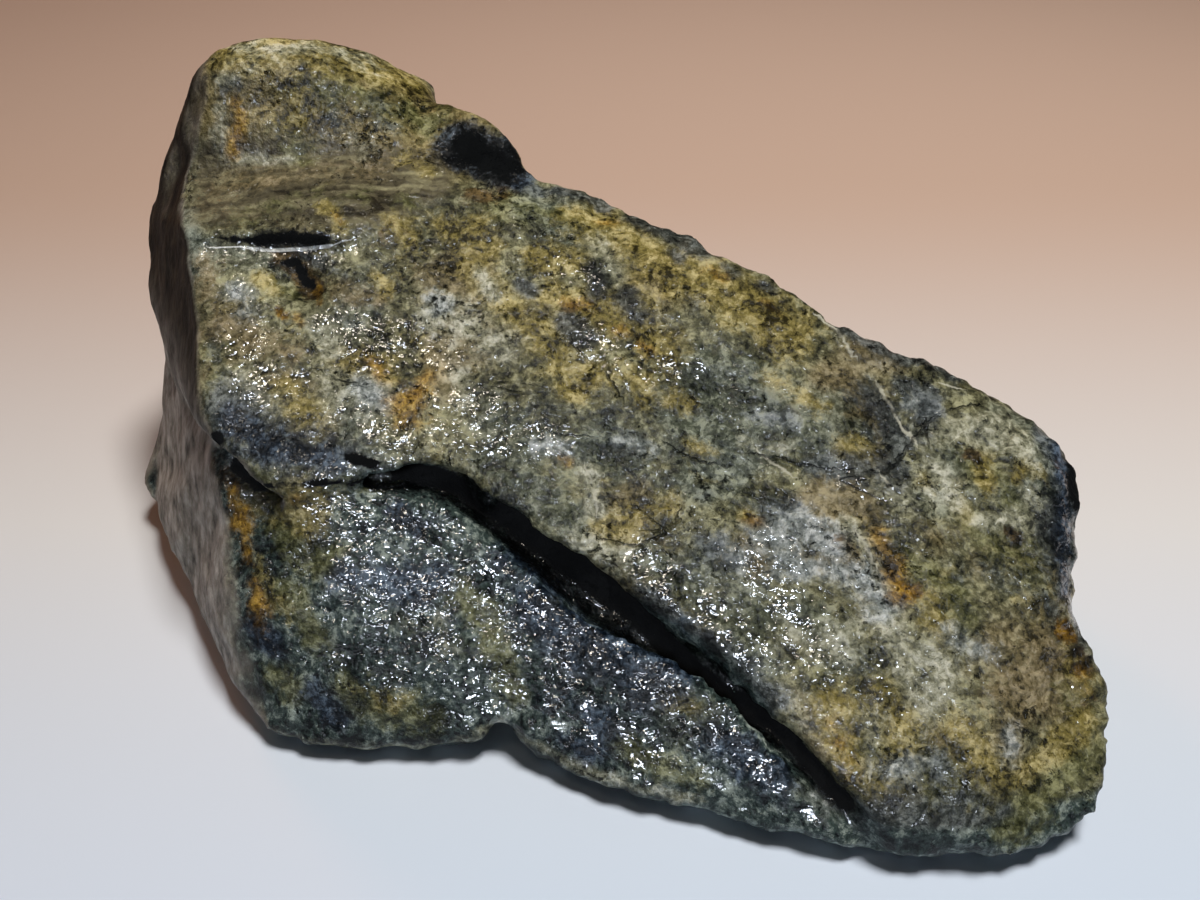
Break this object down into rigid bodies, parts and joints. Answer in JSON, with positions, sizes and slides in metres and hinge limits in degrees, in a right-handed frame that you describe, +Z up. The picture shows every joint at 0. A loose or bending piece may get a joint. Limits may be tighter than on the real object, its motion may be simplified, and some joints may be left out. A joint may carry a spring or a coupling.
{
  "type": "raw jade boulder",
  "caption": "Broken block of raw jade with a tilted slab-like top face that overhangs a recessed front, a high shoulder at one end, lying on a flat underside.",
  "frame": {"origin": "middle of the stone's footprint box, on the table", "axes": "+Z up, +X along the stone's length from the high shoulder towards the low right end, +Y from the overhanging front to the back"},
  "size_m": [0.217, 0.1884, 0.1071],
  "materials": {
    "wet_raw_jade": "wet rough jade: grey-green and navy speckled stone with ochre weathering, rust stains and white veins under a film of water"
  },
  "bodies": {
    "root": {"jade_boulder": "wet_raw_jade"}
  },
  "joints": []
}
